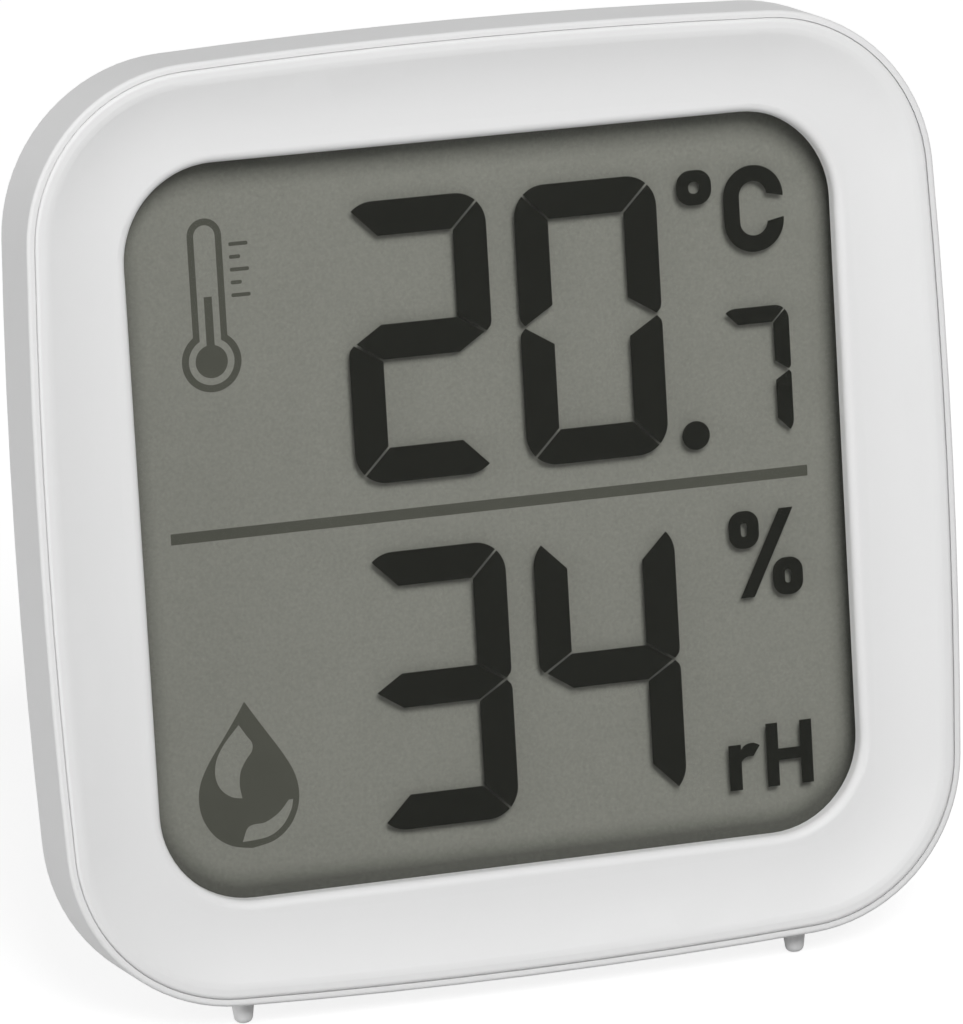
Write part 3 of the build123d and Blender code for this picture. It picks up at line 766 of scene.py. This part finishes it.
class HYGROMETER_OT_electronics(bpy.types.Operator):
    """Finish the board and what is soldered to it"""

    bl_idname = "hygrometer.electronics"
    bl_label = "Finish the electronics"

    def execute(self, context):
        dress(solder_mask("green_board", (0.02, 0.13, 0.05), (0.12, 0.34, 0.13)), "circuit_board")
        dress(moulded_plastic("black_resin", (0.012, 0.012, 0.013), 0.22, 0.6, 0.02), "controller_blob")
        dress(moulded_plastic("sensor_housing", (0.03, 0.03, 0.032), 0.5, 0.1, 0.004), "humidity_sensor")
        dress(moulded_plastic("switch_housing", (0.02, 0.02, 0.02), 0.45, 0.1, 0.004), "tactile_switch")
        dress(moulded_plastic("plunger_cream", (0.55, 0.5, 0.36), 0.4, 0.1, 0.003), "switch_plunger")
        dress(chip_body("ceramic_tan", (0.3, 0.17, 0.08), (0.7, 0.69, 0.66)), "chip_capacitors")
        dress(chip_body("resistor_black", (0.02, 0.02, 0.02), (0.7, 0.69, 0.66)), "chip_resistors")
        dress(drawn_metal("crystal_can", (0.66, 0.65, 0.62), 0.22, 5000), "clock_crystal")
        return {"FINISHED"}


class HYGROMETER_OT_power(bpy.types.Operator):
    """Finish the coin cell and its two contacts"""

    bl_idname = "hygrometer.power"
    bl_label = "Finish the power supply"

    def execute(self, context):
        dress(drawn_metal("cell_steel", (0.62, 0.62, 0.61), 0.2, 3000), "coin_cell")
        dress(drawn_metal("contact_nickel", (0.7, 0.67, 0.6), 0.26, 4000), "positive_contact", "negative_contact")
        return {"FINISHED"}


class HYGROMETER_OT_stage(bpy.types.Operator):
    """Set up the floor, the lamps, the room light and the camera"""

    bl_idname = "hygrometer.stage"
    bl_label = "Set up the stage"

    def execute(self, context):
        studio = context.scene.hygrometer_studio
        white = context.scene.hygrometer_shell.shell_colour[0]
        self.floor()
        self.room(studio.room_level)
        for name, place, size, level in (
            ("key_lamp", (0.0, -0.432, 0.444), 0.32, studio.key_level),
            ("side_lamp", (-0.597, -0.07, 0.065), 0.3, studio.side_level),
            ("back_lamp", (0.27, 0.53, 0.05), 0.4, studio.back_level),
        ):
            self.lamp(name, Vector(place), size, level / white)
        self.camera(studio)
        context.scene.view_settings.view_transform = "Standard"
        context.scene.cycles.transparent_max_bounces = CLEAR_FACES
        return {"FINISHED"}

    def seen(self, recipe):
        """1 for a ray that the viewer sees directly, in a mirror or through glass."""
        kinds = ("Camera", "Glossy", "Transmission")
        camera, glossy, transmission = (recipe.node("ShaderNodeLightPath", {}, {}, f"Is {kind} Ray") for kind in kinds)
        return camera + glossy + transmission > 0.5

    def floor(self):
        """White paper: as light to the part as real paper, and white to the viewer but for the shadows."""
        outline = rounded_box(0, 0, FLOOR_HALF, FLOOR_HALF, FLOOR_CORNER)
        mesh = bpy.data.meshes.new("studio_floor")
        mesh.from_pydata([(x, y, 0) for x, y in outline], [], [range(len(outline))])
        floor = bpy.data.objects.new("studio_floor", mesh)
        bpy.context.scene.collection.objects.link(floor)
        recipe = Recipe(bpy.data.materials.new("studio_white"))
        mottle = recipe.noise(30, detail=3)
        tone = recipe.blend(mottle, (0.49, 0.49, 0.49), (0.51, 0.51, 0.51))
        paper = recipe.node("ShaderNodeBsdfDiffuse", {}, {"Color": tone})
        screen = recipe.node("ShaderNodeBsdfDiffuse", {}, {"Color": (0.3, 0.3, 0.3)})
        glow = recipe.node("ShaderNodeEmission", {}, {"Color": (1, 1, 1), "Strength": 0.84})
        shown = recipe.node("ShaderNodeAddShader", {}, {0: screen, 1: glow})
        recipe.finish(recipe.node("ShaderNodeMixShader", {}, {0: self.seen(recipe), 1: paper, 2: shown}))
        mesh.materials.append(recipe.owner)

    def room(self, level):
        """A dim room that the viewer sees as white."""
        world = bpy.data.worlds.new("studio_room")
        bpy.context.scene.world = world
        recipe = Recipe(world)
        strength = self.seen(recipe) * (1 - level) + level
        recipe.finish(recipe.node("ShaderNodeBackground", {}, {"Color": (1, 1, 1), "Strength": strength}))

    def lamp(self, name, place, size, level):
        """A round soft lamp that gives a white sheet that faces it this brightness."""
        reach = LAMP_AIM - place
        data = bpy.data.lights.new(name, "AREA")
        data.shape = "DISK"
        data.size = size
        data.energy = level * pi**2 * reach.length_squared
        lamp = bpy.data.objects.new(name, data)
        lamp.location = place
        lamp.rotation_euler = reach.to_track_quat("-Z", "Y").to_euler()
        bpy.context.scene.collection.objects.link(lamp)

    def camera(self, studio):
        data = bpy.data.cameras.new("camera")
        data.sensor_width = 36
        data.lens = studio.camera_lens
        data.clip_start = 0.01
        camera = bpy.data.objects.new("camera", data)
        camera.location = studio.camera_place
        look = Vector(studio.camera_aim) - Vector(studio.camera_place)
        camera.rotation_euler = look.to_track_quat("-Z", "Y").to_euler()
        bpy.context.scene.collection.objects.link(camera)
        bpy.context.scene.camera = camera


class HYGROMETER_PT_panel(bpy.types.Panel):
    """Lists the steps and the settings"""

    bl_label = "Thermo-hygrometer"
    bl_idname = "HYGROMETER_PT_panel"
    bl_space_type = "VIEW_3D"
    bl_region_type = "UI"
    bl_category = "Hygrometer"

    def draw(self, context):
        for step in STEPS:
            self.layout.operator(step.bl_idname)
        for group in (
            context.scene.hygrometer_shell,
            context.scene.hygrometer_display,
            context.scene.hygrometer_studio,
        ):
            column = self.layout.column()
            for name in group.bl_rna.properties.keys():
                if name not in ("rna_type", "name"):
                    column.prop(group, name)


STEPS = (
    HYGROMETER_OT_shell,
    HYGROMETER_OT_layers,
    HYGROMETER_OT_readings,
    HYGROMETER_OT_prints,
    HYGROMETER_OT_electronics,
    HYGROMETER_OT_power,
    HYGROMETER_OT_stage,
)
CLASSES = (ShellSettings, DisplaySettings, StudioSettings, *STEPS, HYGROMETER_PT_panel)


def register():
    for cls in CLASSES:
        bpy.utils.register_class(cls)
    bpy.types.Scene.hygrometer_shell = PointerProperty(type=ShellSettings)
    bpy.types.Scene.hygrometer_display = PointerProperty(type=DisplaySettings)
    bpy.types.Scene.hygrometer_studio = PointerProperty(type=StudioSettings)


def unregister():
    del bpy.types.Scene.hygrometer_studio
    del bpy.types.Scene.hygrometer_display
    del bpy.types.Scene.hygrometer_shell
    for cls in reversed(CLASSES):
        bpy.utils.unregister_class(cls)


def main():
    register()
    bpy.ops.hygrometer.shell()
    bpy.ops.hygrometer.layers()
    bpy.ops.hygrometer.readings()
    bpy.ops.hygrometer.prints()
    bpy.ops.hygrometer.electronics()
    bpy.ops.hygrometer.power()
    bpy.ops.hygrometer.stage()


if __name__ == "__main__":
    main()
